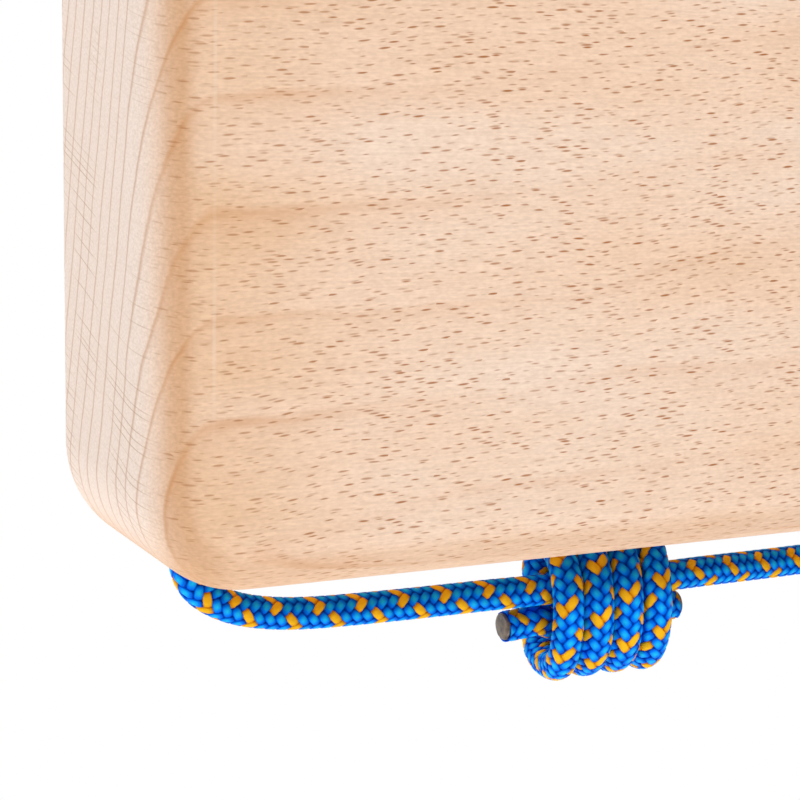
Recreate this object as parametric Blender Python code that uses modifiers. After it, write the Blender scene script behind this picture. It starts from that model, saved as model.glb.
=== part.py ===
"""Lifting edge block: a beech training edge hanging in a knotted loop of accessory cord.

Metres, +Z up, +X along the block, the front face towards -Y. The origin is the top of the
hanging loop, where a hook or a carabiner holds it. The block swings on its cord about an
axis along X, just above the mouths of the two cord holes.
"""

import bmesh
import bpy
import numpy as np
from math import cos, pi, radians, sin
from mathutils import Matrix, Vector

MM = 0.001

# Beech block
BLOCK_LENGTH = 175 * MM
BLOCK_DEPTH = 48 * MM
BLOCK_HEIGHT = 125 * MM
CORNER_RADIUS = 17.6 * MM
EDGE_RADIUS = 9.6 * MM

# Finger ledge, cut into the upper front between two cheeks
CHEEK_WIDTH = 25 * MM
LEDGE_DEPTH = 20 * MM
LEDGE_BELOW_TOP = 26 * MM
LIP_RADIUS = 8 * MM
LEDGE_INNER_RADIUS = 5 * MM
POCKET_END_RADIUS = 4 * MM
CUTTER_REACH = 12 * MM

# Cord and its holes
CORD_DIAMETER = 5 * MM
HOLE_CLEARANCE = 1 * MM
HOLE_FROM_END = 14.5 * MM
MOUTH_RADIUS = 2 * MM
FACE_GAP = 0.3 * MM

# Hanging loop above the block
LOOP_RISE = 130 * MM
HINGE_RISE = 3 * MM
APEX_RADIUS = 9 * MM

# Knot under the block: two barrels of two turns each
STRAND_PITCH = 5.6 * MM
TURN_HALF_HEIGHT = 10.4 * MM
TURN_HALF_DEPTH = 9.2 * MM
KNOT_CLEARANCE = 0.4 * MM
TAIL_REACH = 18.5 * MM
SEAL_THICKNESS = 1.2 * MM

TOP_Z = -LOOP_RISE
BOTTOM_Z = TOP_Z - BLOCK_HEIGHT
HINGE_Z = TOP_Z + HINGE_RISE
HOLE_X = BLOCK_LENGTH / 2 - HOLE_FROM_END
CORD_RADIUS = CORD_DIAMETER / 2
KNOT_Z = BOTTOM_Z - KNOT_CLEARANCE - CORD_RADIUS - TURN_HALF_HEIGHT
LEDGE_Z = TOP_Z - LEDGE_BELOW_TOP


def balance_depth():
    """How far behind the slab's middle its centre of mass lies, because of the ledge cut in front."""
    pocket = (BLOCK_LENGTH - 2 * CHEEK_WIDTH) * LEDGE_DEPTH * LEDGE_BELOW_TOP
    whole = BLOCK_LENGTH * BLOCK_DEPTH * BLOCK_HEIGHT
    return pocket * (BLOCK_DEPTH - LEDGE_DEPTH) / 2 / (whole - pocket)


# The cord and its holes lie at y = 0, straight above the centre of mass, so the block hangs upright
MIDDLE_Y = -balance_depth()
FRONT_Y = MIDDLE_Y - BLOCK_DEPTH / 2


def material(name, colour, roughness):
    made = bpy.data.materials.new(name)
    made.use_nodes = True
    shader = made.node_tree.nodes["Principled BSDF"]
    shader.inputs["Base Color"].default_value = (*colour, 1)
    shader.inputs["Roughness"].default_value = roughness
    shader.inputs["Metallic"].default_value = 0
    return made


def finish(obj, made, smooth_below=radians(35)):
    obj.data.materials.append(made)
    if obj.type == "MESH":
        obj.data.shade_smooth()
        obj.data.set_sharp_from_angle(angle=smooth_below)


def link(obj, collection):
    collection.objects.link(obj)
    return obj


def mesh_object(name, bm, collection):
    bmesh.ops.recalc_face_normals(bm, faces=bm.faces)
    mesh = bpy.data.meshes.new(name)
    bm.to_mesh(mesh)
    bm.free()
    return link(bpy.data.objects.new(name, mesh), collection)


def as_cutter(obj):
    obj.hide_render = True
    obj.display_type = "WIRE"
    return obj


def cut(obj, cutter):
    boolean = obj.modifiers.new(cutter.name, "BOOLEAN")
    boolean.operation = "DIFFERENCE"
    boolean.solver = "EXACT"
    boolean.object = cutter


def arc(centre, radius, start, end, steps):
    """Points of an arc in a plane, from one angle to another in degrees."""
    angles = [radians(start + (end - start) * i / steps) for i in range(steps + 1)]
    return [(centre[0] + radius * cos(a), centre[1] + radius * sin(a)) for a in angles]


def block_body(collection):
    """A slab whose outline has rounded corners, with its front and back edges rounded over."""
    bm = bmesh.new()
    bmesh.ops.create_cube(bm, size=1)
    bmesh.ops.scale(bm, verts=bm.verts, vec=(BLOCK_LENGTH, BLOCK_DEPTH, BLOCK_HEIGHT))
    bmesh.ops.translate(bm, verts=bm.verts, vec=(0, 0, (TOP_Z + BOTTOM_Z) / 2))
    corners = [e for e in bm.edges if abs((e.verts[0].co - e.verts[1].co).y) > BLOCK_DEPTH / 2]
    bmesh.ops.bevel(
        bm, geom=corners, offset=CORNER_RADIUS, segments=9, profile=0.5, affect="EDGES"
    )
    rims = [
        e
        for e in bm.edges
        if all(abs(abs(v.co.y) - BLOCK_DEPTH / 2) < 1e-6 for v in e.verts)
        and len({round(f.normal.y, 3) for f in e.link_faces}) == 2
    ]
    bmesh.ops.bevel(
        bm, geom=rims, offset=EDGE_RADIUS, segments=7, profile=0.5, affect="EDGES"
    )
    bmesh.ops.translate(bm, verts=bm.verts, vec=(0, MIDDLE_Y, 0))
    return mesh_object("block", bm, collection)


def ledge_cutter(collection):
    """The pocket: a ledge with a rounded lip in front and a back wall behind it, open at the top."""
    lip = arc((FRONT_Y + LIP_RADIUS, LEDGE_Z - LIP_RADIUS), LIP_RADIUS, 180, 90, 7)
    inner = arc(
        (FRONT_Y + LEDGE_DEPTH - LEDGE_INNER_RADIUS, LEDGE_Z + LEDGE_INNER_RADIUS),
        LEDGE_INNER_RADIUS,
        270,
        360,
        4,
    )
    above = TOP_Z + CUTTER_REACH
    before = FRONT_Y - CUTTER_REACH
    outside = [(FRONT_Y + LEDGE_DEPTH, above), (before, above), (before, LEDGE_Z - LIP_RADIUS)]
    outline = lip + inner + outside
    half = BLOCK_LENGTH / 2 - CHEEK_WIDTH
    bm = bmesh.new()
    face = bm.faces.new([bm.verts.new((-half, y, z)) for y, z in outline])
    grown = bmesh.ops.extrude_face_region(bm, geom=[face])
    moved = [v for v in grown["geom"] if isinstance(v, bmesh.types.BMVert)]
    bmesh.ops.translate(bm, verts=moved, vec=(2 * half, 0, 0))
    ends = [e for e in bm.edges if abs((e.verts[0].co - e.verts[1].co).x) < 1e-6]
    inside = [
        e
        for e in ends
        if all(v.co.y > FRONT_Y - 1e-6 and v.co.z < above + 1e-6 for v in e.verts)
        and not all(abs(v.co.z - above) < 1e-6 for v in e.verts)
    ]
    bmesh.ops.bevel(
        bm, geom=inside, offset=POCKET_END_RADIUS, segments=4, profile=0.5, affect="EDGES"
    )
    return as_cutter(mesh_object("ledge_cutter", bm, collection))


def hole_cutter(side, collection):
    """A through hole for the cord, with both mouths rounded over."""
    radius = CORD_RADIUS + HOLE_CLEARANCE
    outer = radius + MOUTH_RADIUS
    top = arc((outer, -MOUTH_RADIUS), MOUTH_RADIUS, 90, 180, 4)
    bottom = arc((outer, -BLOCK_HEIGHT + MOUTH_RADIUS), MOUTH_RADIUS, 180, 270, 4)
    profile = [(0, CUTTER_REACH), (outer, CUTTER_REACH)] + top
    profile += bottom + [(outer, -BLOCK_HEIGHT - CUTTER_REACH), (0, -BLOCK_HEIGHT - CUTTER_REACH)]
    mesh = bpy.data.meshes.new("hole_cutter")
    mesh.from_pydata([(x, 0, z) for x, z in profile], [(i, i + 1) for i in range(len(profile) - 1)], [])
    obj = link(bpy.data.objects.new(f"hole_cutter_{side}", mesh), collection)
    turn = obj.modifiers.new("turned", "SCREW")
    turn.axis = "Z"
    turn.angle = 2 * pi
    turn.steps = 24
    turn.render_steps = 24
    turn.use_merge_vertices = True
    turn.merge_threshold = 1e-6
    obj.location = (HOLE_X if side == "right" else -HOLE_X, 0, TOP_Z)
    return as_cutter(obj)


def smooth_path(route, step):
    """Even points on the smooth curve through the route's own points."""
    route = np.array(route, float)
    chord = np.sqrt(np.linalg.norm(np.diff(route, axis=0), axis=1))
    at = np.concatenate([[0], np.cumsum(chord)])
    n = len(at)
    left = np.eye(n)
    right = np.zeros((n, 3))
    for i in range(1, n - 1):
        before, after = at[i] - at[i - 1], at[i + 1] - at[i]
        left[i, i - 1 : i + 2] = before, 2 * (before + after), after
        slopes = (route[i + 1] - route[i]) / after - (route[i] - route[i - 1]) / before
        right[i] = 6 * slopes
    bend = np.linalg.solve(left, right)
    fine = np.linspace(0, at[-1], 60 * n)
    k = np.clip(np.searchsorted(at, fine, side="right") - 1, 0, n - 2)
    width = (at[k + 1] - at[k])[:, None]
    a = (at[k + 1] - fine)[:, None] / width
    b = 1 - a
    points = a * route[k] + b * route[k + 1]
    points += ((a**3 - a) * bend[k] + (b**3 - b) * bend[k + 1]) * width**2 / 6
    along = np.concatenate([[0], np.cumsum(np.linalg.norm(np.diff(points, axis=0), axis=1))])
    count = max(2, round(along[-1] / step) + 1)
    even = np.linspace(0, along[-1], count)
    return np.stack([np.interp(even, along, points[:, i]) for i in range(3)], 1)


def square_ends(points, start, end=None):
    """Turns the first and the last segment to run exactly along a direction, for square caps."""
    points[1] = points[0] + np.array(start) * np.linalg.norm(points[1] - points[0])
    if end:
        points[-2] = points[-1] - np.array(end) * np.linalg.norm(points[-1] - points[-2])
    return points


def cord_tube(name, points, collection, sides_step, thickness=None):
    """A cord as a tube along its points. thickness gives each point's share of the full radius."""
    curve = bpy.data.curves.new(name, "CURVE")
    curve.dimensions = "3D"
    curve.bevel_depth = CORD_RADIUS
    curve.bevel_resolution = sides_step
    curve.use_fill_caps = True
    spline = curve.splines.new("POLY")
    spline.points.add(len(points) - 1)
    for i, (point, place) in enumerate(zip(spline.points, points)):
        point.co = (*place, 1)
        if thickness:
            point.radius = thickness[i]
    return link(bpy.data.objects.new(name, curve), collection)


def least_gap(paths, apart):
    """The least gap in metres between stretches of cord that are more than apart from each other."""
    points = np.vstack(paths)
    owner = np.concatenate([[i] * len(p) for i, p in enumerate(paths)])
    along = np.concatenate(
        [np.concatenate([[0], np.cumsum(np.linalg.norm(np.diff(p, axis=0), axis=1))]) for p in paths]
    )
    distance = np.linalg.norm(points[:, None] - points[None], axis=2)
    near = (owner[:, None] == owner[None]) & (abs(along[:, None] - along[None]) < apart)
    return float(distance[~near].min() - CORD_DIAMETER)


# The knot's route, seen along the cord: x grows towards the barrel that this end winds,
# angles turn from the top (0) over the front (90) to the bottom (180) and the back (270)
def around(x, angle, reach=1.0):
    """A point on the turns' oval at an angle, or at a share of its reach."""
    a = radians(angle)
    return (x, -TURN_HALF_DEPTH * reach * sin(a), TURN_HALF_HEIGHT * reach * cos(a))


def knot_route(passes_above):
    """One end's way through the other end's barrel, round its own two turns and out as a tail."""
    inner = STRAND_PITCH / 2
    outer = STRAND_PITCH * 1.5
    through = (-2.3 * MM, 3.0 * MM)
    lead = (3.4 * MM, 1.1 * MM)
    tail = (-1.0 * MM, -3.8 * MM)
    above = [(-1.1, 4.5), (1.1, 4.7), (2.9, 2.9)]
    below = [(-2.3, 0.6), (-0.5, -1.3), (2.2, -0.1)]
    crossing = above if passes_above else below
    route = [(-15 * MM, *through), (-10.5 * MM, *through), (-6 * MM, *through)]
    route += [(x * MM, y * MM, z * MM) for x, (y, z) in zip((-2.75, 0, 2.75), crossing)]
    route += [(6 * MM, *lead), (9.5 * MM, lead[0] + 0.3 * MM, lead[1])]
    # Up the back to the top of the outer turn, once round it, then over onto the inner turn
    route += [(12.3 * MM, 5.8 * MM, 3.1 * MM), (11.6 * MM, 6.4 * MM, 7.6 * MM)]
    route += [around(outer + 0.5 * MM, 0)]
    route += [around(outer, a) for a in (45, 90, 135, 180)]
    route += [around(outer + 0.4 * MM, 214, 1.12), around(outer - 0.6 * MM, 244, 1.12)]
    route += [around(outer - 4.4 * MM, 283, 1.04)]
    route += [around(inner, a) for a in (325, 360, 405, 450, 495, 540)]
    # Into the barrel from below and out along its lower front as the tail
    route += [(inner, 3.1 * MM, -10.6 * MM), (inner + 0.6 * MM, 5.2 * MM, -8.2 * MM)]
    route += [(inner + 2.0 * MM, 4.1 * MM, -5.2 * MM), (inner + 4.2 * MM, 0.6 * MM, -4.7 * MM)]
    route += [(10.8 * MM, *tail), (14.5 * MM, *tail)]
    route += [(TAIL_REACH, tail[0] - 0.3 * MM, tail[1] - 0.5 * MM)]
    return route


def in_place(route, side):
    """Puts a knot route under the block. The left end winds the right barrel, and the other way round."""
    flip = 1 if side == "right" else -1
    return [(flip * x, y, KNOT_Z + z) for x, y, z in route]


def split_tail(points):
    """Takes the sealed tip off a tail: the cord up to it and the tip by itself, with a gap between."""
    along = np.concatenate([[0], np.cumsum(np.linalg.norm(np.diff(points, axis=0), axis=1))])
    stop = along[-1] - SEAL_THICKNESS - FACE_GAP
    tip_start = along[-1] - SEAL_THICKNESS

    def at(s):
        return np.array([np.interp(s, along, points[:, i]) for i in range(3)])

    body = np.vstack([points[along < stop - 0.5 * MM], at(stop)])
    tip = np.vstack([at(tip_start), at((tip_start + along[-1]) / 2), points[-1]])
    return body, tip


def build():
    for obj in list(bpy.data.objects):
        bpy.data.objects.remove(obj, do_unlink=True)
    parts = bpy.data.collections.new("lifting_edge_block")
    cutters = bpy.data.collections.new("cutters")
    bpy.context.scene.collection.children.link(parts)
    bpy.context.scene.collection.children.link(cutters)

    beech = material("beech", (0.80, 0.58, 0.41), 0.5)
    cord = material("accessory_cord", (0.01, 0.2, 0.65), 0.55)
    sealed = material("melted_cord_end", (0.2, 0.16, 0.12), 0.4)

    axis = link(bpy.data.objects.new("swing_axis", None), parts)
    axis.location = (0, 0, HINGE_Z)

    block = block_body(parts)
    cut(block, ledge_cutter(cutters))
    for side in ("left", "right"):
        cut(block, hole_cutter(side, cutters))
    finish(block, beech)

    swinging = [block]
    knot_paths = []
    for side, other, flip in (("left", "right", -1), ("right", "left", 1)):
        hole_x = flip * HOLE_X
        # The cord inside the hole, flush with the top and ending just inside the lower mouth
        drop = BOTTOM_Z + 1.2 * MM
        straight = np.linspace((hole_x, 0, TOP_Z), (hole_x, 0, drop), 13)
        swinging.append(cord_tube(f"cord_in_{side}_hole", straight, parts, 3))

        # The knot's strand that enters from this side, through this barrel and round the other
        knot = smooth_path(in_place(knot_route(side == "left"), other), 2.4 * MM)
        knot = square_ends(knot, (-flip, 0, 0))
        knot_paths.append(knot)
        body, tip = split_tail(knot)
        swinging.append(cord_tube(f"knot_{other}_barrel", body, parts, 1))
        swinging.append(cord_tube(f"sealed_end_{other}", tip, parts, 1, thickness=[1, 1, 0.8]))

        # The run from the hole's lower mouth to the knot
        entry = knot[0]
        down = [(0, 0), (0, -1.0), (-1.2, -4.0), (-4.4, -6.9), (-9.5, -9.1), (-17, -10.5), (-26, -11.0)]
        route = [(hole_x + flip * x * MM, 0, drop - FACE_GAP + z * MM) for x, z in down]
        route += [(hole_x - flip * 40 * MM, -0.6 * MM, drop - FACE_GAP - 11.0 * MM)]
        route += [(entry[0] + flip * 7 * MM, entry[1] + 0.3 * MM, entry[2])]
        route += [(entry[0] + flip * FACE_GAP, entry[1], entry[2])]
        run = square_ends(smooth_path(route, 2.6 * MM), (0, 0, -1), (-flip, 0, 0))
        swinging.append(cord_tube(f"lower_run_{side}", run, parts, 2))
    print("knot: least gap of the cord to itself, mm:", round(least_gap(knot_paths, 12 * MM) / MM, 2))

    # The hanging loop: its legs end in domes centred on the swing axis, clear of the block's top
    crown = arc((0, -APEX_RADIUS), APEX_RADIUS, 155, 25, 6)
    left_leg = [(-HOLE_X, HINGE_Z), (-HOLE_X * 0.98, HINGE_Z + 9 * MM), (-HOLE_X * 0.9, HINGE_Z + 24 * MM)]
    left_leg += [(-HOLE_X * 0.62, HINGE_Z + 58 * MM), (-HOLE_X * 0.3, HINGE_Z + 96 * MM)]
    right_leg = [(-x, z) for x, z in reversed(left_leg)]
    loop = smooth_path([(x, 0, z) for x, z in left_leg + crown + right_leg], 5 * MM)
    dome = [(-0.99, 0.14), (-0.87, 0.5), (-0.5, 0.87), (0, 1.0)]
    low = [loop[0] + np.array([0, 0, z * CORD_RADIUS]) for z, _ in dome]
    high = [loop[-1] + np.array([0, 0, z * CORD_RADIUS]) for z, _ in reversed(dome)]
    share = [r for _, r in dome]
    points = low + list(loop[1:-1]) + high
    thickness = share + [1.0] * (len(loop) - 2) + share[::-1]
    hanging = cord_tube("hanging_loop", points, parts, 3, thickness)

    for obj in swinging[1:] + [hanging]:
        finish(obj, sealed if obj.name.startswith("sealed") else cord)
    for obj in swinging:
        obj.parent = axis
        obj.matrix_parent_inverse = Matrix.Translation(-Vector(axis.location))


build()
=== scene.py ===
"""Dresses the lifting edge block: sanded beech and a braided cord, seen by the photograph's camera."""

from math import cos, pi, radians, sin

import bmesh
import bpy
import numpy as np
from mathutils import Matrix, Vector, noise


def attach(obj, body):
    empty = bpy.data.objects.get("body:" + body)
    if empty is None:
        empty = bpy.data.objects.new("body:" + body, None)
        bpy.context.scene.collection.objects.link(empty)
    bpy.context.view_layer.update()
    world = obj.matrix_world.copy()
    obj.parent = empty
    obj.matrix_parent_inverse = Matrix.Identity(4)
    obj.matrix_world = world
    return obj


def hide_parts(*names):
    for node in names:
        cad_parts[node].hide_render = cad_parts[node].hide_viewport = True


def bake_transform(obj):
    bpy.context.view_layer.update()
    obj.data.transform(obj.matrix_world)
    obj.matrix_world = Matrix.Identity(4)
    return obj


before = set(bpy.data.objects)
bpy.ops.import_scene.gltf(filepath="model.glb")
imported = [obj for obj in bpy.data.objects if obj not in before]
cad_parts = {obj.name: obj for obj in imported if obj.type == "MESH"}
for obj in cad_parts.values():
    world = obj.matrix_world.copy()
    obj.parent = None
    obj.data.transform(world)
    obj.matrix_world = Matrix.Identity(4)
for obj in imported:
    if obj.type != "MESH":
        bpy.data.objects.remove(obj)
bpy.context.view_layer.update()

MM = 0.001

# The block, its ledge, its cord holes and the loop above it, in the sizes of the part's own source
BLOCK_LENGTH = 175 * MM
BLOCK_DEPTH = 48 * MM
BLOCK_HEIGHT = 125 * MM
CORNER_RADIUS = 17.6 * MM
EDGE_RADIUS = 9.6 * MM
CHEEK_WIDTH = 25 * MM
LEDGE_DEPTH = 20 * MM
LEDGE_BELOW_TOP = 26 * MM
LIP_RADIUS = 8 * MM
LEDGE_INNER_RADIUS = 5 * MM
POCKET_END_RADIUS = 4 * MM
CUTTER_REACH = 12 * MM
CORD_DIAMETER = 5 * MM
HOLE_CLEARANCE = 1 * MM
HOLE_FROM_END = 14.5 * MM
MOUTH_RADIUS = 2 * MM
FACE_GAP = 0.3 * MM
LOOP_RISE = 130 * MM
HINGE_RISE = 3 * MM
APEX_RADIUS = 9 * MM

# The knot, laid as in the photograph: the room for one strand, the share of their depth by which its
# turns slant, how far it lies off the block's middle, the size of its turns, its room under the block,
# and where its two tails end, from the knot's middle
STRAND_PITCH = 5.7 * MM
KNOT_SLANT = 0.25
KNOT_OFF_MIDDLE = 1.3 * MM
TURN_HALF_HEIGHT = 10.4 * MM
TURN_HALF_DEPTH = 9.2 * MM
KNOT_CLEARANCE = 0.4 * MM
LEFT_END = (15.8 * MM, -1.2 * MM, -1.9 * MM)
RIGHT_END = (19 * MM, -1.2 * MM, -2.4 * MM)

# A tail's melted cap: its thickness and radius, its lumps' height and number along one radius, and the
# power that flattens its two faces
SEAL_THICKNESS = 1.2 * MM
SEAL_RADIUS = 2.25 * MM
LUMP_HEIGHT = 0.06
LUMP_COUNT = 2.2
CAP_FLATNESS = 0.5

TOP_Z = -LOOP_RISE
BOTTOM_Z = TOP_Z - BLOCK_HEIGHT
MIDDLE_Z = (TOP_Z + BOTTOM_Z) / 2
HINGE_Z = TOP_Z + HINGE_RISE
HOLE_X = BLOCK_LENGTH / 2 - HOLE_FROM_END
CORD_RADIUS = CORD_DIAMETER / 2
KNOT_Z = BOTTOM_Z - KNOT_CLEARANCE - CORD_RADIUS - TURN_HALF_HEIGHT
LEDGE_Z = TOP_Z - LEDGE_BELOW_TOP

# The camera, from the perspective of the block's straight edges. Its roll is in degrees, and its lens
# and sensor are in millimetres
CAMERA_PLACE = (-183.6 * MM, -303.8 * MM, -169.9 * MM)
CAMERA_FORWARD = (0.42820, 0.88578, -0.17897)
CAMERA_ROLL = 1.11
CAMERA_LENS = 96.4
CAMERA_SENSOR = 36

# The sheath: sixteen strands over two and under two, so eight rows of picks round the cord. A lower
# power makes a pick squarer along it, across it and in height. Its half length and half width are
# shares of the room between its neighbours, a little over a half, so that they meet. The core's radius
# is a share of the sheath's, which runs through the middle of the picks
PICK_ROWS = 8
PICK_PITCH = 1.87 * MM
SHEATH_RADIUS = 2.22 * MM
PICK_HEIGHT = 0.44 * MM
PICK_POWERS = (0.62, 0.62, 0.85)
PICK_LENGTH_SHARE = 0.58
PICK_WIDTH_SHARE = 0.64
CORE_SHARE = 1.02
# One pick in four is yellow, two picks further back from one pair of rows to the next. The lower cords'
# sheaths are turned and moved along until the left one's flecks fall where the photograph has them
FLECK_EVERY = 4.0
FLECK_BACK = 2.0
PICK_TURN = radians(79)
PICK_START = 1.1
# Seeds for the lighter and darker lots of yarn
SEEDS = {"left": 2, "right": 4, "loop": 11}

# How far a cord goes on inside a hole before it becomes the plain one, the fine points of a smooth path
# for each of its own, and the steps of a cord's path while it is drawn and as the braid follows it
INTO_HOLE = 8 * MM
FINE_POINTS = 60
DRAWN_STEP = 0.3 * MM
LOWER_STEP = 0.7 * MM
LOOP_DRAWN_STEP = 1.2 * MM
LOOP_STEP = 1.0 * MM

# The board: how far its growth rings lean, how that grows with depth, how far they lean along it, and
# their usual width in millimetres
RING_TILT = 0.25
RING_CURVE = 0.0015
RING_LEAN = 0.02
RING_WIDTH = 4.1
# How dark a year is from its start to its end: late wood on a face, and the thin line on the end grain
RING_ON_FACE = [(0.0, 0.0), (0.3, 0.03), (0.65, 0.12), (0.86, 0.35), (0.94, 1.0), (1.0, 0.2)]
RING_ON_END = [(0.0, 0.25), (0.06, 0.0), (0.84, 0.0), (0.95, 1.0), (1.0, 0.6)]
# The room that one ray takes along the board and across it, and on the end grain, in millimetres. Each
# row of rays is moved along by a share of that room, and rises along the board. Only the cells with a
# chance above the least one hold a ray
RAY_CELL = (3.0, 0.58)
RAY_SHIFT = 0.382
RAY_RISE = 0.12
RAY_LEAST_CHANCE = 0.45
END_RAY_ROOM = 1.3
# Where the board's ends begin to differ in tone, and where they do fully, in millimetres from its middle
END_ZONE = (48, 84)

# The lamps' places, sizes and powers in metres and watts, the place that they point at, and the
# floor's height and half width
LAMPS = {
    "key": ((0.3, -1.05, 0.95), 0.4, 15.2),
    "low": ((-0.2, -0.65, -1.12), 0.4, 6.3),
    "left": ((-1.3, -0.6, 0.1), 0.8, 3.0),
    "side": ((-1.5, 0.6, 0.2), 0.8, 14.9),
    "back": ((0.9, 1.2, 0.7), 0.8, 13.0),
}
LAMP_AIM = (0, 0, -0.2)
FLOOR_Z = -1.2
FLOOR_HALF = 3

# Two points or heights closer than this are taken as one
SAME = 1e-6

# The kinds of node used most, settings for a soft range and for mixing colours, and the numbers that
# a Mix node's sockets have then
MATH, VECTOR, RANGE = "ShaderNodeMath", "ShaderNodeVectorMath", "ShaderNodeMapRange"
NOISE, RAMP, MIX = "ShaderNodeTexNoise", "ShaderNodeValToRGB", "ShaderNodeMix"
SOFT = {"interpolation_type": "SMOOTHSTEP"}
COLOURS = {"data_type": "RGBA"}
FACTOR, FIRST, SECOND, MIXED = 0, 6, 7, 2


def balance_depth():
    """How far behind the slab's middle its centre of mass lies, because of the ledge cut in front."""
    pocket = (BLOCK_LENGTH - 2 * CHEEK_WIDTH) * LEDGE_DEPTH * LEDGE_BELOW_TOP
    whole = BLOCK_LENGTH * BLOCK_DEPTH * BLOCK_HEIGHT
    return pocket * (BLOCK_DEPTH - LEDGE_DEPTH) / 2 / (whole - pocket)


MIDDLE_Y = -balance_depth()
FRONT_Y = MIDDLE_Y - BLOCK_DEPTH / 2


def colour(code):
    """An sRGB hex colour as the linear one that a shader takes."""
    parts = [int(code[i : i + 2], 16) / 255 for i in (0, 2, 4)]
    return (*(c / 12.92 if c <= 0.04045 else ((c + 0.055) / 1.055) ** 2.4 for c in parts), 1)


def grey(value):
    """A linear grey."""
    return (value, value, value, 1)


def add(tree, kind, settings=None, *inputs):
    """Adds a node. Its settings are a dictionary or just an operation, and a ramp's stops are places
    with their colours. Its inputs come in order or in a dictionary, each a value or a linked output."""
    made = tree.nodes.new(kind)
    if isinstance(settings, str):
        settings = {"operation": settings}
    for name, value in (settings or {}).items():
        if name == "stops":
            elements = made.color_ramp.elements
            while len(elements) < len(value):
                elements.new(0.5)
            for element, (place, shade) in zip(elements, value):
                element.position = place
                element.color = shade
        else:
            setattr(made, name, value)
    given = {}
    for number, value in enumerate(inputs):
        given.update(value if isinstance(value, dict) else {number: value})
    for key, value in given.items():
        if isinstance(value, bpy.types.Node):
            value = value.outputs[0]
        if isinstance(value, bpy.types.NodeSocket):
            tree.links.new(value, made.inputs[key])
        else:
            made.inputs[key].default_value = value
    return made


def new_material(name):
    """A material with its tree cleared, and the tree itself."""
    made = bpy.data.materials.new(name)
    made.use_nodes = True
    made.node_tree.nodes.clear()
    return made, made.node_tree


def surface(tree, inputs):
    """Ends a material's tree in one shader with these inputs."""
    shader = add(tree, "ShaderNodeBsdfPrincipled", None, inputs)
    add(tree, "ShaderNodeOutputMaterial", None, shader)


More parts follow.
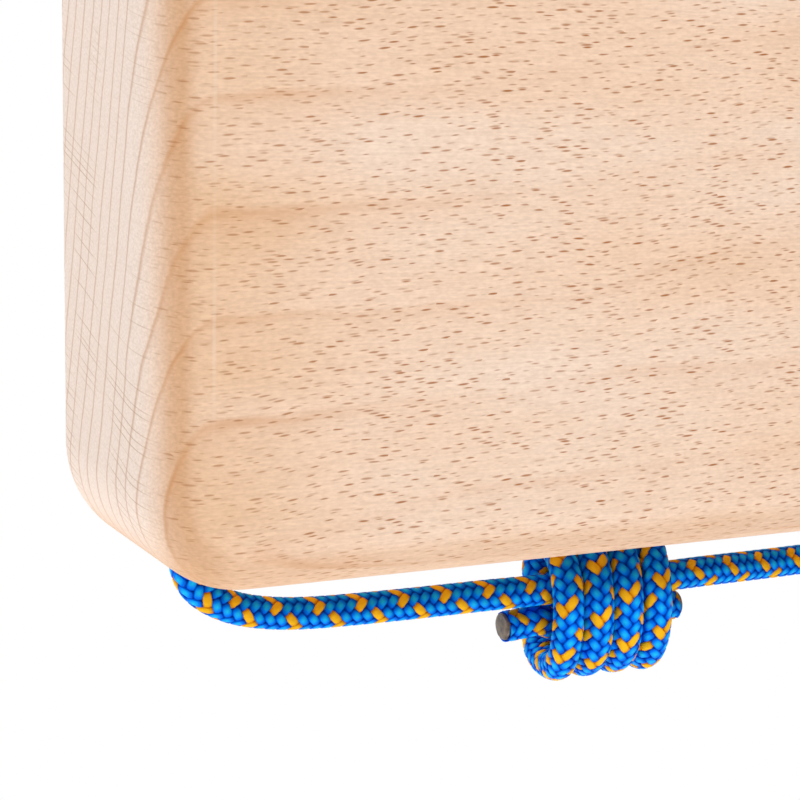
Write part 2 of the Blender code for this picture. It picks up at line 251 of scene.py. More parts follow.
def beech_material():
    """Beech: pale pinkish brown, with growth rings that come to the front going up, and short
    brown ray flecks on the front that show as fine slanting lines on the end grain."""
    made, tree = new_material("sanded_beech")
    coordinates = add(tree, "ShaderNodeTexCoord").outputs
    mm = add(tree, VECTOR, "SCALE", {0: coordinates["Object"], "Scale": 1 / MM})
    x, y, z = add(tree, "ShaderNodeSeparateXYZ", None, mm).outputs

    def clouds(detail, *per_mm):
        """Noise with so many features in a millimetre along the board, through it and up it."""
        place = add(tree, VECTOR, "MULTIPLY", mm, per_mm)
        return add(tree, NOISE, None, {"Vector": place, "Scale": 1.0, "Detail": detail})

    # How much of the surface here is end grain, and how much of it lies half way round an edge,
    # which shows most where the edge turns towards an end
    normal = add(tree, "ShaderNodeSeparateXYZ", None, coordinates["Normal"]).outputs
    squared = add(tree, MATH, "MULTIPLY", normal[0], normal[0])
    facing = add(tree, MATH, "MULTIPLY", normal[1], normal[1])
    end = add(tree, RANGE, SOFT, squared, 0.2, 1.0)
    not_end = add(tree, MATH, "SUBTRACT", 1.0, end)
    off_face = add(tree, RANGE, SOFT, facing, 1.0, 0.78)
    off_end = add(tree, RANGE, SOFT, squared, 0.85, 0.35)
    sideways = add(tree, RANGE, SOFT, squared, 0.0, 0.15, 0.5, 1.0)
    turning = add(tree, MATH, "MULTIPLY", off_face, off_end)
    turning = add(tree, MATH, "MULTIPLY", turning, sideways)

    # Growth rings: across them, with a slow waviness, and wide and narrow years
    deep = add(tree, MATH, "SUBTRACT", y, FRONT_Y / MM)
    high = add(tree, MATH, "SUBTRACT", z, MIDDLE_Z / MM)
    tilt = add(tree, MATH, "MULTIPLY_ADD", deep, RING_CURVE, RING_TILT)
    across = add(tree, MATH, "MULTIPLY_ADD", high, tilt, deep)
    across = add(tree, MATH, "MULTIPLY_ADD", x, -RING_LEAN, across)
    across = add(tree, MATH, "MULTIPLY_ADD", clouds(2.0, 0.008, 0.02, 0.02), 5.0, across)
    across = add(tree, MATH, "MULTIPLY_ADD", clouds(3.0, 0.05, 0.12, 0.12), 0.9, across)
    years = add(tree, NOISE, {"noise_dimensions": "1D"}, {"W": across, "Scale": 0.13, "Detail": 1.0})
    spread = add(tree, MATH, "MULTIPLY_ADD", years, 2.0, across)
    phase = add(tree, MATH, "FRACT", add(tree, MATH, "MULTIPLY", spread, 1 / RING_WIDTH))
    late = add(tree, RAMP, {"stops": [(place, grey(dark)) for place, dark in RING_ON_FACE]}, phase)
    thin = add(tree, RAMP, {"stops": [(place, grey(dark)) for place, dark in RING_ON_END]}, phase)
    strong = add(tree, RANGE, SOFT, clouds(2.0, 0.02, 0.07, 0.07), 0.35, 0.68, 0.3, 1.0)
    ring = add(tree, MATH, "MULTIPLY", late, strong)

    # Rays on the faces: cells along the board and across it, drawn out along the ring's own direction
    bend = add(tree, MATH, "MULTIPLY_ADD", deep, RING_CURVE / 2, RING_TILT)
    side = add(tree, MATH, "SUBTRACT", high, add(tree, MATH, "MULTIPLY", deep, bend))
    side = add(tree, MATH, "MULTIPLY_ADD", clouds(2.0, 0.04, 0.04, 0.04), 2.4, side)
    rising = add(tree, MATH, "MULTIPLY_ADD", x, -RAY_RISE, side)
    cell_z = add(tree, MATH, "MULTIPLY", rising, 1 / RAY_CELL[1])
    cell_x = add(tree, MATH, "MULTIPLY", x, 1 / RAY_CELL[0])
    cell_x = add(tree, MATH, "MULTIPLY_ADD", cell_z, RAY_SHIFT, cell_x)
    cells = add(tree, "ShaderNodeCombineXYZ", None, cell_x, cell_z)
    rays = {"Vector": cells, "Scale": 1.0}
    rays = add(tree, "ShaderNodeTexVoronoi", {"voronoi_dimensions": "2D"}, rays).outputs
    chance = add(tree, "ShaderNodeSeparateColor", None, rays["Color"]).outputs
    size = add(tree, RANGE, None, chance[0], RAY_LEAST_CHANCE, 1.0, 0.17, 0.36)
    edge = add(tree, MATH, "SUBTRACT", size, rays["Distance"])
    depth = add(tree, MATH, "MULTIPLY_ADD", chance[1], 0.7, 0.3)
    ray = add(tree, MATH, "MULTIPLY", add(tree, RANGE, SOFT, edge, -0.06, 0.2), depth)
    kept = add(tree, MATH, "GREATER_THAN", chance[0], RAY_LEAST_CHANCE)
    ray = add(tree, MATH, "MULTIPLY", ray, kept)

    # Rays on the end grain: lines through the rings, clear in some patches only
    lines = {"W": add(tree, MATH, "MULTIPLY", side, 1 / END_RAY_ROOM), "Scale": 1.0}
    lines = add(tree, "ShaderNodeTexVoronoi", {"voronoi_dimensions": "1D"}, lines).outputs
    luck = add(tree, "ShaderNodeSeparateColor", None, lines["Color"]).outputs
    patch = add(tree, RANGE, SOFT, clouds(1.0, 0.03, 0.06, 0.03), 0.38, 0.6)
    patch = add(tree, MATH, "MULTIPLY", patch, add(tree, RANGE, SOFT, luck[0], 0.1, 0.8))
    end_ray = add(tree, RANGE, SOFT, lines["Distance"], 0.09, 0.02)
    end_ray = add(tree, MATH, "MULTIPLY", end_ray, patch)

    # Ground: slow clouds, fibres along the board and a fine mottle, warmer where they are darker.
    # Beech's pores are under 0.1 mm wide, too fine to show, so the fibres are drawn 0.3 mm apart
    near_end = add(tree, RANGE, SOFT, add(tree, MATH, "ABSOLUTE", x), *END_ZONE)
    tone = add(tree, MATH, "MULTIPLY_ADD", near_end, 0.35, clouds(2.0, 0.015, 0.05, 0.05))
    tones = [(0.3, colour("FBE3D0")), (0.65, colour("F7D6BB")), (1.0, colour("EEC6A2"))]
    ground = add(tree, RAMP, {"stops": tones}, tone)
    fibre = clouds(3.0, 0.16, 3.0, 3.0)
    mottle = clouds(2.0, 0.9, 2.4, 2.4)
    fine = add(tree, RANGE, SOFT, fibre, 0.25, 0.75, 0.91, 1.02)
    fine = add(tree, MATH, "MULTIPLY", fine, add(tree, RANGE, SOFT, mottle, 0.3, 0.7, 0.92, 1.03))
    red, blue = add(tree, MATH, "POWER", fine, 0.8), add(tree, MATH, "POWER", fine, 1.15)
    shade = add(tree, "ShaderNodeCombineColor", None, red, fine, blue)
    at_edges, on_ends = colour("E0B48E"), colour("F5E4D8")
    body = add(tree, MIX, COLOURS, {FACTOR: turning, FIRST: ground, SECOND: at_edges}).outputs[MIXED]
    body = add(tree, MIX, COLOURS, {FACTOR: end, FIRST: body, SECOND: on_ends}).outputs[MIXED]
    darkened = {**COLOURS, "blend_type": "MULTIPLY"}
    body = add(tree, MIX, darkened, {FACTOR: 1.0, FIRST: body, SECOND: shade}).outputs[MIXED]

    # On the front a ring is a faint tint, round the edges a brown arc, and on the end a thin line
    clearer = add(tree, MATH, "MAXIMUM", turning, add(tree, MATH, "MULTIPLY", near_end, 0.65))
    clearer = add(tree, MATH, "MULTIPLY_ADD", clearer, 0.55, 0.18)
    on_face = add(tree, MATH, "MULTIPLY", add(tree, MATH, "MULTIPLY", ring, clearer), not_end)
    on_end = add(tree, MATH, "MULTIPLY", add(tree, MATH, "MULTIPLY", thin, 0.66), end)
    share = add(tree, MATH, "ADD", on_end, on_face)
    line = {FACTOR: end, FIRST: colour("CC8C56"), SECOND: colour("C49A7A")}
    line = add(tree, MIX, COLOURS, line).outputs[MIXED]
    body = add(tree, MIX, COLOURS, {FACTOR: share, FIRST: body, SECOND: line}).outputs[MIXED]

    # Rays are fainter on the top and bottom and towards the ends
    level = add(tree, MATH, "MULTIPLY", normal[2], normal[2])
    level = add(tree, MATH, "MULTIPLY_ADD", level, -0.5, 1.0)
    share = add(tree, MATH, "MULTIPLY", add(tree, MATH, "MULTIPLY", ray, level), not_end)
    share = add(tree, MATH, "MULTIPLY", share, add(tree, MATH, "MULTIPLY_ADD", near_end, -0.35, 0.95))
    end_share = add(tree, MATH, "MULTIPLY", add(tree, MATH, "POWER", end, 3.0), 0.8)
    share = add(tree, MATH, "MULTIPLY_ADD", end_ray, end_share, share)
    fleck = {FACTOR: end, FIRST: colour("AA6428"), SECOND: colour("BC9678")}
    fleck = add(tree, MIX, COLOURS, fleck).outputs[MIXED]
    body = add(tree, MIX, COLOURS, {FACTOR: share, FIRST: body, SECOND: fleck}).outputs[MIXED]

    # The line that sanding leaves where the flat front turns into the rounded edge
    half_x, half_z = (BLOCK_LENGTH / 2 - EDGE_RADIUS) / MM, (BLOCK_HEIGHT / 2 - EDGE_RADIUS) / MM
    round_off = (CORNER_RADIUS - EDGE_RADIUS) / MM
    past_x = add(tree, MATH, "SUBTRACT", add(tree, MATH, "ABSOLUTE", x), half_x - round_off)
    past_x = add(tree, MATH, "MAXIMUM", past_x, 0.0)
    past_z = add(tree, MATH, "SUBTRACT", add(tree, MATH, "ABSOLUTE", high), half_z - round_off)
    past_z = add(tree, MATH, "MAXIMUM", past_z, 0.0)
    far = add(tree, MATH, "MULTIPLY_ADD", past_x, past_x, add(tree, MATH, "MULTIPLY", past_z, past_z))
    off_line = add(tree, MATH, "SUBTRACT", add(tree, MATH, "SQRT", far), round_off)
    off_line = add(tree, MATH, "ABSOLUTE", off_line)
    on_line = add(tree, RANGE, SOFT, off_line, 0.4, 0.1)
    flat = add(tree, MATH, "LESS_THAN", y, FRONT_Y / MM + 0.6)
    upright = add(tree, RANGE, SOFT, past_x, round_off * 0.75, round_off)
    upright = add(tree, MATH, "MULTIPLY", upright, add(tree, RANGE, SOFT, high, -42, -18))
    clear = add(tree, RANGE, SOFT, clouds(1.0, 0.03, 0.03, 0.03), 0.4, 0.6, 0.08, 0.32)
    witness = add(tree, MATH, "MULTIPLY", on_line, add(tree, MATH, "MULTIPLY", flat, upright))
    witness = add(tree, MATH, "MULTIPLY", witness, clear)
    sanded = {FACTOR: witness, FIRST: body, SECOND: colour("F6E2D0")}
    body = add(tree, MIX, COLOURS, sanded).outputs[MIXED]

    # Fibres stand up a little and rays lie a little below them
    pores = add(tree, MATH, "MULTIPLY_ADD", ray, -0.6, fibre)
    bump = add(tree, "ShaderNodeBump", None, {"Height": pores, "Strength": 0.25, "Distance": 0.05 * MM})
    surface(tree, {"Base Color": body, "Roughness": 0.62, "Specular IOR Level": 0.14, "Normal": bump})
    return made


def sheath_material():
    """Dyed polyamide yarn: a bright blue pick, or a yellow one where the braid carries a fleck. Each pick
    has a painted highlight on its crest, and painted shade down its flanks and towards its ends, where
    the yarn goes under its neighbours."""
    made, tree = new_material("polyamide_yarn")
    own = add(tree, "ShaderNodeAttribute", {"attribute_name": "pick"}).outputs["Vector"]
    fleck = add(tree, "ShaderNodeAttribute", {"attribute_name": "fleck"}).outputs["Fac"]
    lot = add(tree, "ShaderNodeAttribute", {"attribute_name": "lot"}).outputs["Fac"]
    along, across, up = add(tree, "ShaderNodeSeparateXYZ", None, own).outputs
    # The ramps paint each pick's light: a painted highlight at its crest, and painted shade on its flanks
    # and ends
    towards_end = add(tree, MATH, "MULTIPLY", along, along)
    painted_crest_light = add(tree, MATH, "MULTIPLY", up, add(tree, MATH, "MULTIPLY_ADD", towards_end, -0.45, 1.0))
    blue_shade_to_highlight = [(0.0, "001048"), (0.52, "003EB8"), (0.82, "007CFF"), (1.0, "20C4FF")]
    yellow_shade_to_highlight = [(0.0, "5A2C06"), (0.5, "DA8408"), (0.88, "FFC020")]
    blue = add(tree, RAMP, {"stops": [(place, colour(code)) for place, code in blue_shade_to_highlight]}, painted_crest_light)
    yellow = add(tree, RAMP, {"stops": [(place, colour(code)) for place, code in yellow_shade_to_highlight]}, painted_crest_light)
    dye_and_painted_light = add(tree, MIX, COLOURS, {FACTOR: fleck, FIRST: blue, SECOND: yellow}).outputs[MIXED]
    shade = add(tree, RANGE, None, {0: lot, 3: 0.92, 4: 1.06})
    dye_and_painted_light = add(tree, "ShaderNodeHueSaturation", None, {"Value": shade, "Color": dye_and_painted_light})
    # The yarn's filaments run along the pick. They are about 0.03 mm thick, too fine to show, so seven
    # coarser ones are drawn across it
    filaments = add(tree, MATH, "SINE", add(tree, MATH, "MULTIPLY", across, 22.0))
    bump = {"Height": filaments, "Strength": 0.35, "Distance": 0.04 * MM}
    bump = add(tree, "ShaderNodeBump", None, bump)
    surface(tree, {"Base Color": dye_and_painted_light, "Roughness": 0.42, "Specular IOR Level": 0.02, "Normal": bump})
    return made


def core_material():
    """The cord's core, and the cord in the holes: dark and dull, for next to no light gets there."""
    made, tree = new_material("shadowed_core")
    surface(tree, {"Base Color": colour("002060"), "Roughness": 0.8})
    return made


def melted_material():
    """Sheath and core melted together at a cut end: a glossy, smoky brown skin."""
    made, tree = new_material("melted_polyamide")
    place = add(tree, "ShaderNodeTexCoord").outputs["Object"]
    blot = add(tree, NOISE, None, {"Vector": place, "Scale": 0.9 / MM, "Detail": 3.0})
    shade = add(tree, RAMP, {"stops": [(0.35, colour("463C34")), (0.65, colour("78695A"))]}, blot)
    bump = add(tree, "ShaderNodeBump", None, {"Height": blot, "Strength": 0.4, "Distance": 0.15 * MM})
    surface(tree, {"Base Color": shade, "Roughness": 0.38, "Normal": bump})
    return made


def arc(centre, radius, start, end, steps):
    """Points of an arc in a plane, from one angle to another in degrees."""
    angles = [radians(start + (end - start) * i / steps) for i in range(steps + 1)]
    return [(centre[0] + radius * cos(a), centre[1] + radius * sin(a)) for a in angles]


def smooth_path(route, step):
    """Even points on the smooth curve through the route's own points: a cubic spline, whose bends
    come from the slopes between the points."""
    route = np.array(route, float)
    chord = np.sqrt(np.linalg.norm(np.diff(route, axis=0), axis=1))
    at = np.concatenate([[0], np.cumsum(chord)])
    n = len(at)
    left = np.eye(n)
    right = np.zeros((n, 3))
    for i in range(1, n - 1):
        before, after = at[i] - at[i - 1], at[i + 1] - at[i]
        left[i, i - 1 : i + 2] = before, 2 * (before + after), after
        slopes = (route[i + 1] - route[i]) / after - (route[i] - route[i - 1]) / before
        right[i] = 6 * slopes
    bend = np.linalg.solve(left, right)
    fine = np.linspace(0, at[-1], FINE_POINTS * n)
    k = np.clip(np.searchsorted(at, fine, side="right") - 1, 0, n - 2)
    width = (at[k + 1] - at[k])[:, None]
    a = (at[k + 1] - fine)[:, None] / width
    b = 1 - a
    points = a * route[k] + b * route[k + 1]
    points += ((a**3 - a) * bend[k] + (b**3 - b) * bend[k + 1]) * width**2 / 6
    return evenly(points, step)


def evenly(points, step):
    """The same line with its points at even steps."""
    along = np.concatenate([[0], np.cumsum(np.linalg.norm(np.diff(points, axis=0), axis=1))])
    count = max(2, round(along[-1] / step) + 1)
    even = np.linspace(0, along[-1], count)
    return np.stack([np.interp(even, along, points[:, i]) for i in range(3)], 1)


def around(x, angle, reach=1.0):
    """A point on the turns' oval at an angle, or at a share of its reach."""
    a = radians(angle)
    return (x, -TURN_HALF_DEPTH * reach * sin(a), TURN_HALF_HEIGHT * reach * cos(a))


def knot_route(passes_above):
    """One end's way through the other end's barrel, round its own two turns and out as a tail. The
    knot's middle is the origin, and the end comes in from the side of smaller x."""
    inner = STRAND_PITCH / 2
    outer = STRAND_PITCH * 1.5
    # Depth and height of the cord inside the other barrel, where it leaves it, and of the tail
    through = (-2.3 * MM, 3.6 * MM)
    lead = (3.5 * MM, 1.5 * MM)
    tail = (-1.2 * MM, -2 * MM)
    # In the middle of the knot one end passes above the other
    above = [(-1.1, 4.6), (1.2, 5), (3.1, 3.1)]
    below = [(-2.5, 0.7), (-0.6, -1.2), (2.4, 0.1)]
    crossing = above if passes_above else below
    route = [(-15 * MM, *through), (-10.5 * MM, *through), (-6 * MM, *through)]
    route += [(x * MM, y * MM, z * MM) for x, (y, z) in zip((-2.75, 0, 2.75), crossing)]
    route += [(6 * MM, *lead), (8.4 * MM, 3.8 * MM, 2 * MM)]
    # Up the back to the top of the outer turn, once round it, then over onto the inner turn
    route += [(10.2 * MM, 5.2 * MM, 4.4 * MM), (9 * MM, 4.9 * MM, 8.7 * MM)]
    route += [around(outer + 0.3 * MM, 0)]
    route += [around(outer, a) for a in (45, 90, 135, 180)]
    route += [around(outer + 0.5 * MM, 215, 1.13), around(outer - 0.5 * MM, 245, 1.12)]
    route += [around(outer - 4.5 * MM, 285, 1.05)]
    route += [around(inner, a) for a in (325, 360, 405, 450, 495, 540)]
    # Into the barrel from below and out along its lower front as the tail
    turn_in = arc((2.2 * MM, -7.5 * MM), 3 * MM, -90, 45, 3)
    route += [(inner + x * MM, y, z) for x, (y, z) in zip((0, 0, 0.4, 1.6), turn_in)]
    route += [(inner + 4.6 * MM, 1.3 * MM, -4.1 * MM)]
    out, end = (11.4 * MM, *tail), LEFT_END if passes_above else RIGHT_END
    route += [out, tuple((a + b) / 2 for a, b in zip(out, end)), end]
    return route


def lower_strand(flip):
    """The cord from inside one hole, along under the block and through the knot to its tail."""
    route = knot_route(flip < 0)
    knot = [(KNOT_OFF_MIDDLE - flip * x + KNOT_SLANT * y, y, KNOT_Z + z) for x, y, z in route]
    entry = knot[0]
    hole_x = flip * HOLE_X
    drop = BOTTOM_Z + 1.2 * MM
    # Down out of the hole and round towards the knot, in millimetres
    down = [(0, 0), (0, -1.0), (-1.2, -4.0), (-4.4, -6.9), (-9.5, -9.1), (-17, -10.5), (-26, -11.0)]
    route = [(hole_x + flip * x * MM, 0, drop - FACE_GAP + z * MM) for x, z in down]
    route += [(hole_x - flip * 40 * MM, -0.6 * MM, drop - FACE_GAP - 11.0 * MM)]
    route += [(entry[0] + flip * 7 * MM, entry[1] + 0.3 * MM, entry[2])]
    route += [(entry[0] + flip * FACE_GAP, entry[1], entry[2])]
    inside = [(hole_x, 0, drop + INTO_HOLE)]
    drawn = [inside, smooth_path(route, DRAWN_STEP), smooth_path(knot, DRAWN_STEP)]
    return evenly(np.vstack(drawn), LOWER_STEP)


def upper_loop():
    """The cord from inside the left hole, over the top of the hanging loop and into the right hole."""
    crown = arc((0, -APEX_RADIUS), APEX_RADIUS, 155, 25, 6)
    # Each leg leans in slowly above its hole, by shares of the hole's distance from the middle
    left_leg = [(1, 0), (0.98, 9), (0.9, 24), (0.62, 58), (0.3, 96)]
    left_leg = [(-HOLE_X * share, HINGE_Z + rise * MM) for share, rise in left_leg]
    right_leg = [(-x, z) for x, z in reversed(left_leg)]
    path = smooth_path([(x, 0, z) for x, z in left_leg + crown + right_leg], LOOP_DRAWN_STEP)
    inside = [(-HOLE_X, 0, TOP_Z - INTO_HOLE)]
    return evenly(np.vstack([inside, path, [(HOLE_X, 0, TOP_Z - INTO_HOLE)]]), LOOP_STEP)


def braid_tree(yarn, core):
    """Lays picks side by side on a flat sheet, then rolls the sheet round the route."""
    tree = bpy.data.node_groups.new("braided_sheath", "GeometryNodeTree")
    tree.interface.new_socket(name="Route", in_out="INPUT", socket_type="NodeSocketGeometry")
    for name in ("Radius", "Pitch", "Pick height", "Rows", "Turn", "Start"):
        tree.interface.new_socket(name=name, in_out="INPUT", socket_type="NodeSocketFloat")
    tree.interface.new_socket(name="Seed", in_out="INPUT", socket_type="NodeSocketInt")
    tree.interface.new_socket(name="Sheath", in_out="OUTPUT", socket_type="NodeSocketGeometry")
    given = add(tree, "NodeGroupInput").outputs
    radius, pitch, rows, start = (given[name] for name in ("Radius", "Pitch", "Rows", "Start"))

    # Each pick's place on the flat sheet: along the cord, and over the sheet from row to row, with
    # every other row half a pick further on
    line = add(tree, "GeometryNodeMeshToCurve", None, given["Route"])
    length = add(tree, "GeometryNodeCurveLength", None, line)
    lines = add(tree, MATH, "SUBTRACT", add(tree, MATH, "DIVIDE", length, pitch), start)
    count = add(tree, MATH, "MULTIPLY", add(tree, MATH, "CEIL", lines), rows)
    index = add(tree, "GeometryNodeInputIndex")
    row = add(tree, MATH, "MODULO", index, rows)
    number = add(tree, MATH, "FLOOR", add(tree, MATH, "DIVIDE", index, rows))
    odd = add(tree, MATH, "MODULO", row, 2.0)
    along = add(tree, MATH, "ADD", add(tree, MATH, "MULTIPLY_ADD", odd, 0.5, number), start)
    along = add(tree, MATH, "MULTIPLY", along, pitch)
    girth = add(tree, MATH, "MULTIPLY", radius, 2 * pi)
    width = add(tree, MATH, "DIVIDE", girth, rows)
    over = add(tree, MATH, "MULTIPLY", add(tree, MATH, "ADD", row, 0.5), width)
    flat = add(tree, "ShaderNodeCombineXYZ", None, along, over)
    points = {"Count": count, "Position": flat, "Radius": 1 * MM}
    points = add(tree, "GeometryNodePoints", None, points)

    # One pick: a rounded oblong whose own coordinates stay with it
    ball = add(tree, "GeometryNodeMeshUVSphere", None, {"Segments": 10, "Rings": 6, "Radius": 1.0})
    own = add(tree, "GeometryNodeInputPosition")
    full = add(tree, VECTOR, "POWER", add(tree, VECTOR, "ABSOLUTE", own), PICK_POWERS)
    signed = add(tree, VECTOR, "MULTIPLY", full, add(tree, VECTOR, "SIGN", own))
    pick = add(tree, "GeometryNodeSetPosition", None, {"Geometry": ball, "Position": signed})
    named = {"data_type": "FLOAT_VECTOR", "domain": "POINT"}
    rounded = add(tree, "GeometryNodeInputPosition")
    pick = {"Geometry": pick, "Name": "pick", "Value": rounded}
    pick = add(tree, "GeometryNodeStoreNamedAttribute", named, pick)

    # It lies along its strand, and its size comes from its room
    slant = add(tree, MATH, "ARCTAN2", width, pitch)
    turned = add(tree, MATH, "MULTIPLY", slant, add(tree, MATH, "MULTIPLY_ADD", odd, -2.0, 1.0))
    turn = add(tree, "ShaderNodeCombineXYZ", None, {2: turned})
    reach = add(tree, MATH, "MULTIPLY", width, width)
    reach = add(tree, MATH, "ADD", reach, add(tree, MATH, "MULTIPLY", pitch, pitch))
    reach = add(tree, MATH, "SQRT", reach)
    half_length = add(tree, MATH, "MULTIPLY", reach, PICK_LENGTH_SHARE)
    half_width = add(tree, MATH, "DIVIDE", add(tree, MATH, "MULTIPLY", width, pitch), reach)
    half_width = add(tree, MATH, "MULTIPLY", half_width, PICK_WIDTH_SHARE)
    scale = add(tree, "ShaderNodeCombineXYZ", None, half_length, half_width, given["Pick height"])
    laid = {"Points": points, "Instance": pick, "Rotation": turn, "Scale": scale}
    laid = add(tree, "GeometryNodeInstanceOnPoints", None, laid)

    # Which picks are yellow, and how light each one's lot of yarn is
    pair = add(tree, MATH, "FLOOR", add(tree, MATH, "MULTIPLY", row, 0.5))
    back = add(tree, MATH, "ADD", add(tree, MATH, "MULTIPLY_ADD", pair, FLECK_BACK, number), 1.0)
    fleck = add(tree, MATH, "LESS_THAN", add(tree, MATH, "MODULO", back, FLECK_EVERY), 0.5)
    lot = add(tree, "FunctionNodeRandomValue", {"data_type": "FLOAT"}, {"Seed": given["Seed"]}).outputs[1]
    scalar = {"data_type": "FLOAT", "domain": "INSTANCE"}
    for name, value in (("fleck", fleck), ("lot", lot)):
        laid = {"Geometry": laid, "Name": name, "Value": value}
        laid = add(tree, "GeometryNodeStoreNamedAttribute", scalar, laid)
    real = add(tree, "GeometryNodeRealizeInstances", None, laid)

    # Roll it round the route
    at = add(tree, "ShaderNodeSeparateXYZ", None, add(tree, "GeometryNodeInputPosition")).outputs
    found = {"Curves": line, "Length": at[0]}
    found = add(tree, "GeometryNodeSampleCurve", {"mode": "LENGTH"}, found).outputs
    angle = add(tree, MATH, "ADD", add(tree, MATH, "DIVIDE", at[1], radius), given["Turn"])
    beside = add(tree, VECTOR, "CROSS_PRODUCT", found["Tangent"], found["Normal"])
    first = {0: found["Normal"], "Scale": add(tree, MATH, "COSINE", angle)}
    second = {0: beside, "Scale": add(tree, MATH, "SINE", angle)}
    out = add(tree, VECTOR, "ADD", add(tree, VECTOR, "SCALE", first), add(tree, VECTOR, "SCALE", second))
    rise = add(tree, MATH, "ADD", radius, at[2])
    lift = add(tree, VECTOR, "SCALE", {0: out, "Scale": rise})
    rolled = add(tree, VECTOR, "ADD", found["Position"], lift)
    rolled = add(tree, "GeometryNodeSetPosition", None, {"Geometry": real, "Position": rolled})
    rolled = add(tree, "GeometryNodeSetMaterial", None, {"Geometry": rolled, "Material": yarn})

    # The core that shows between the picks, painted dark as shade
    inside = add(tree, MATH, "MULTIPLY", radius, CORE_SHARE)
    ring = {"Resolution": 16, "Radius": inside}
    ring = add(tree, "GeometryNodeCurvePrimitiveCircle", None, ring)
    inner = {"Curve": line, "Profile Curve": ring, "Fill Caps": True}
    inner = add(tree, "GeometryNodeCurveToMesh", None, inner)
    inner = add(tree, "GeometryNodeSetMaterial", None, {"Geometry": inner, "Material": core})
    whole = add(tree, "GeometryNodeJoinGeometry")
    tree.links.new(rolled.outputs[0], whole.inputs[0])
    tree.links.new(inner.outputs[0], whole.inputs[0])
    smooth = add(tree, "GeometryNodeSetShadeSmooth", None, {"Geometry": whole})
    add(tree, "NodeGroupOutput", None, {"Sheath": smooth})
    return tree


def placed(name, data):
    """An object in the scene for a mesh, a lamp or a camera."""
    made = bpy.data.objects.new(name, data)
    bpy.context.scene.collection.objects.link(made)
    return made


def settled(obj, name):
    """The object's finished mesh as a plain object of its own, with nothing live left on it."""
    bpy.context.view_layer.update()
    graph = bpy.context.evaluated_depsgraph_get()
    finished = obj.evaluated_get(graph)
    mesh = bpy.data.meshes.new_from_object(finished, preserve_all_data_layers=True, depsgraph=graph)
    mesh.name = name
    made = placed(name, mesh)
    bpy.data.objects.remove(obj, do_unlink=True)
    return made


def braided(name, path, tree, seed, turn=0.0, start=0.25):
    """A cord of braided yarn along a path, with its sheath turned about it and moved along it."""
    mesh = bpy.data.meshes.new(name + "_route")
    mesh.from_pydata([tuple(p) for p in path], [(i, i + 1) for i in range(len(path) - 1)], [])
    obj = placed(name + "_route", mesh)
    nodes = obj.modifiers.new("sheath", "NODES")
    nodes.node_group = tree
    values = {
        "Radius": SHEATH_RADIUS,
        "Pitch": PICK_PITCH,
        "Pick height": PICK_HEIGHT,
        "Rows": float(PICK_ROWS),
        "Turn": turn,
        "Start": start,
        "Seed": seed,
    }
    for socket in tree.interface.items_tree:
        if socket.in_out == "INPUT" and socket.name in values:
            nodes[socket.identifier] = values[socket.name]
    return settled(obj, name)


def mesh_object(name, bm):
    """An object of a finished bmesh, with its faces pointing the same way round."""
    bmesh.ops.recalc_face_normals(bm, faces=bm.faces)
    mesh = bpy.data.meshes.new(name)
    bm.to_mesh(mesh)
    bm.free()
    return placed(name, mesh)


def rounded_edges(bm, edges, radius, segments):
    """Rounds edges over with a radius, in so many steps."""
    bmesh.ops.bevel(bm, geom=edges, offset=radius, segments=segments, profile=0.5, affect="EDGES")


def ledge_cutter():
    """The pocket: a ledge with a rounded lip in front and a back wall behind it, open at the top."""
    lip = arc((FRONT_Y + LIP_RADIUS, LEDGE_Z - LIP_RADIUS), LIP_RADIUS, 180, 90, 20)
    centre = (FRONT_Y + LEDGE_DEPTH - LEDGE_INNER_RADIUS, LEDGE_Z + LEDGE_INNER_RADIUS)
    inner = arc(centre, LEDGE_INNER_RADIUS, 270, 360, 12)
    above = TOP_Z + CUTTER_REACH
    before = FRONT_Y - CUTTER_REACH
    outside = [(FRONT_Y + LEDGE_DEPTH, above), (before, above), (before, LEDGE_Z - LIP_RADIUS)]
    half = BLOCK_LENGTH / 2 - CHEEK_WIDTH
    bm = bmesh.new()
    face = bm.faces.new([bm.verts.new((-half, y, z)) for y, z in lip + inner + outside])
    grown = bmesh.ops.extrude_face_region(bm, geom=[face])
    moved = [v for v in grown["geom"] if isinstance(v, bmesh.types.BMVert)]
    bmesh.ops.translate(bm, verts=moved, vec=(2 * half, 0, 0))
    # The edges at its two ends are rounded, but for those that stand above or before the block
    inside = []
    for edge in bm.edges:
        first, last = (v.co for v in edge.verts)
        at_end = abs(first.x - last.x) < SAME
        on_top = abs(first.z - above) < SAME and abs(last.z - above) < SAME
        if at_end and min(first.y, last.y) > FRONT_Y - SAME and not on_top:
            inside.append(edge)
    rounded_edges(bm, inside, POCKET_END_RADIUS, 10)
    return mesh_object("ledge_cutter", bm)


def hole_cutter(flip):
    """A through hole for the cord, with both mouths rounded over."""
    radius = CORD_RADIUS + HOLE_CLEARANCE
    outer = radius + MOUTH_RADIUS
    profile = [(0, CUTTER_REACH), (outer, CUTTER_REACH)]
    profile += arc((outer, -MOUTH_RADIUS), MOUTH_RADIUS, 90, 180, 10)
    profile += arc((outer, -BLOCK_HEIGHT + MOUTH_RADIUS), MOUTH_RADIUS, 180, 270, 10)
    profile += [(outer, -BLOCK_HEIGHT - CUTTER_REACH), (0, -BLOCK_HEIGHT - CUTTER_REACH)]
    bm = bmesh.new()
    verts = [bm.verts.new((x, 0, z)) for x, z in profile]
    edges = [bm.edges.new(pair) for pair in zip(verts, verts[1:])]
    whole_turn = {"cent": (0, 0, 0), "axis": (0, 0, 1), "angle": 2 * pi, "steps": 64, "use_merge": True}
    bmesh.ops.spin(bm, geom=verts + edges, **whole_turn)
    bmesh.ops.remove_doubles(bm, verts=bm.verts, dist=SAME)
    bmesh.ops.translate(bm, verts=bm.verts, vec=(flip * HOLE_X, 0, TOP_Z))
    return mesh_object("hole_cutter", bm)


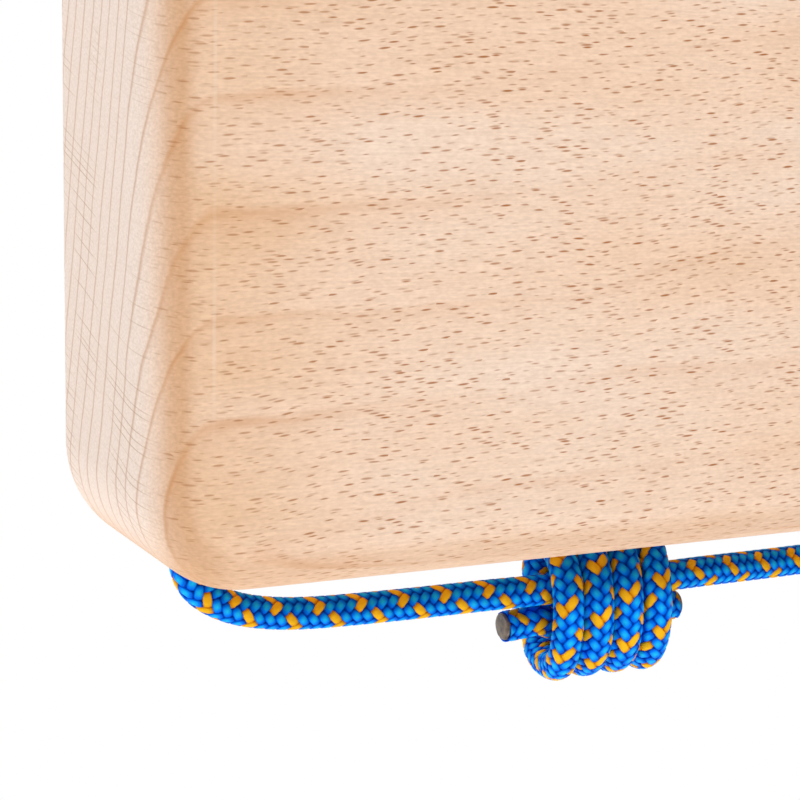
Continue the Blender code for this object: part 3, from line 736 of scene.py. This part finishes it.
def wooden_block(wood):
    """The block with smooth roundings, cut as the CAD block is."""
    bm = bmesh.new()
    bmesh.ops.create_cube(bm, size=1)
    bmesh.ops.scale(bm, verts=bm.verts, vec=(BLOCK_LENGTH, BLOCK_DEPTH, BLOCK_HEIGHT))
    bmesh.ops.translate(bm, verts=bm.verts, vec=(0, 0, MIDDLE_Z))
    corners = [e for e in bm.edges if abs((e.verts[0].co - e.verts[1].co).y) > BLOCK_DEPTH / 2]
    rounded_edges(bm, corners, CORNER_RADIUS, 28)
    # The rims of the front and the back: edges there whose two faces point different ways
    rims = []
    for edge in bm.edges:
        on_rim = all(abs(abs(v.co.y) - BLOCK_DEPTH / 2) < SAME for v in edge.verts)
        if on_rim and len({round(face.normal.y, 3) for face in edge.link_faces}) == 2:
            rims.append(edge)
    rounded_edges(bm, rims, EDGE_RADIUS, 20)
    bmesh.ops.translate(bm, verts=bm.verts, vec=(0, MIDDLE_Y, 0))
    raw = mesh_object("raw_block", bm)
    raw.data.materials.append(wood)
    cutters = [ledge_cutter(), hole_cutter(-1), hole_cutter(1)]
    for cutter in cutters:
        boolean = raw.modifiers.new("cut", "BOOLEAN")
        boolean.operation = "DIFFERENCE"
        boolean.solver = "EXACT"
        boolean.object = cutter
    block = settled(raw, "wooden_block")
    for cutter in cutters:
        bpy.data.objects.remove(cutter, do_unlink=True)
    block.data.shade_smooth()
    block.data.set_sharp_from_angle(angle=radians(30))
    weighted = block.modifiers.new("flat faces stay flat", "WEIGHTED_NORMAL")
    weighted.keep_sharp = True
    weighted.weight = 100
    return settled(block, "wooden_block")


def melted_end(name, path, melted):
    """A tail's cut end: the strands melted into one slightly lumpy skin, about as wide as the cord.
    It faces the way of the path's last few millimetres."""
    tip, before = Vector(path[-1]), Vector(path[-6])
    direction = (tip - before).normalized()
    bm = bmesh.new()
    bmesh.ops.create_uvsphere(bm, u_segments=32, v_segments=18, radius=1.0)
    for v in bm.verts:
        lump = 1 + LUMP_HEIGHT * noise.noise(v.co * LUMP_COUNT + Vector((0, 0, 3)))
        side = 1 if v.co.z > 0 else -1
        flat = abs(v.co.z) ** CAP_FLATNESS * side * SEAL_THICKNESS / 2 / SEAL_RADIUS
        v.co = Vector((v.co.x * lump, v.co.y * lump, flat * lump))
    bmesh.ops.scale(bm, verts=bm.verts, vec=(SEAL_RADIUS, SEAL_RADIUS, SEAL_RADIUS))
    turn = direction.to_track_quat("Z", "Y").to_matrix().to_4x4()
    place = Matrix.Translation(tip - direction * SEAL_THICKNESS * 0.5)
    bmesh.ops.transform(bm, verts=bm.verts, matrix=place @ turn)
    cap = mesh_object(name, bm)
    cap.data.shade_smooth()
    cap.data.materials.append(melted)
    return cap


def camera():
    """The photograph's camera: its place, its direction and its slight roll."""
    data = bpy.data.cameras.new("camera")
    data.lens = CAMERA_LENS
    data.sensor_width = CAMERA_SENSOR
    data.clip_start = 10 * MM
    forward = Vector(CAMERA_FORWARD).normalized()
    level = Vector((forward.y, -forward.x, 0)).normalized()
    up = level.cross(forward)
    roll = radians(CAMERA_ROLL)
    right = level * cos(roll) + up * sin(roll)
    tall = up * cos(roll) - level * sin(roll)
    turn = Matrix((right, tall, -forward)).transposed().to_4x4()
    made = placed("camera", data)
    made.matrix_world = Matrix.Translation(Vector(CAMERA_PLACE)) @ turn
    bpy.context.scene.camera = made


def background_rays(tree):
    """1 for the rays that see the white background: from the camera, off gloss and through glass."""
    rays = add(tree, "ShaderNodeLightPath").outputs
    seeing = rays["Is Camera Ray"]
    for kind in ("Is Glossy Ray", "Is Transmission Ray"):
        seeing = add(tree, MATH, "MAXIMUM", seeing, rays[kind])
    return seeing


def studio():
    """White to the camera. The light is a key lamp from the upper right, others from below, from the
    left and from behind, and a weak glow from the floor and from all round."""
    scene = bpy.context.scene
    scene.view_settings.view_transform = "Standard"
    world = bpy.data.worlds.new("white_room")
    scene.world = world
    world.use_nodes = True
    tree = world.node_tree
    tree.nodes.clear()
    white = {"Color": grey(1.0), "Strength": 1.0}
    seen = add(tree, "ShaderNodeBackground", None, white)
    light = add(tree, "ShaderNodeBackground", None, {"Color": colour("FFFCF8"), "Strength": 0.1})
    both = add(tree, "ShaderNodeMixShader", None, background_rays(tree), light, seen)
    add(tree, "ShaderNodeOutputWorld", None, both)

    pale_floor, tree = new_material("pale_floor")
    paint = {"Base Color": grey(0.85), "Roughness": 0.9}
    glow = {"Emission Color": grey(1.0), "Emission Strength": 0.36}
    shader = add(tree, "ShaderNodeBsdfPrincipled", None, {**paint, **glow})
    bright = add(tree, "ShaderNodeEmission", None, white)
    both = add(tree, "ShaderNodeMixShader", None, background_rays(tree), shader, bright)
    add(tree, "ShaderNodeOutputMaterial", None, both)
    bm = bmesh.new()
    bmesh.ops.create_grid(bm, x_segments=1, y_segments=1, size=FLOOR_HALF)
    bmesh.ops.translate(bm, verts=bm.verts, vec=(0, 0, FLOOR_Z))
    floor = mesh_object("floor", bm)
    floor.data.materials.append(pale_floor)

    for name, (place, size, power) in LAMPS.items():
        data = bpy.data.lights.new(name, "AREA")
        data.size = size
        data.energy = power
        lamp = placed(name, data)
        lamp.location = place
        lamp.rotation_euler = (Vector(LAMP_AIM) - Vector(place)).to_track_quat("-Z", "Y").to_euler()


def main():
    """Makes the cords with their melted ends, the loop, the wooden block and the room around them."""
    camera()
    yarn = sheath_material()
    core = core_material()
    melted = melted_material()
    tree = braid_tree(yarn, core)
    for side, other, flip in (("left", "right", -1), ("right", "left", 1)):
        path = lower_strand(flip)
        cut = len(path) - 1
        strand = braided(f"lower_cord_{side}", path[:cut], tree, SEEDS[side], PICK_TURN, PICK_START)
        cap = melted_end(f"melted_end_{side}", path, melted)
        for piece in (strand, cap):
            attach(piece, "block")
        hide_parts(f"lower_run_{side}", f"knot_{other}_barrel")
        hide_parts(f"sealed_end_{other}")
    path = upper_loop()
    loop = braided("hanging_cord", path, tree, SEEDS["loop"])
    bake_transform(loop)
    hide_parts("hanging_loop")
    # The cord inside the holes keeps its CAD shape, and takes the core's dark colour as painted shade
    for side in ("left", "right"):
        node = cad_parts[f"cord_in_{side}_hole"]
        for slot in node.material_slots:
            slot.material = core
    block = wooden_block(beech_material())
    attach(block, "block")
    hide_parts("block")
    studio()


main()
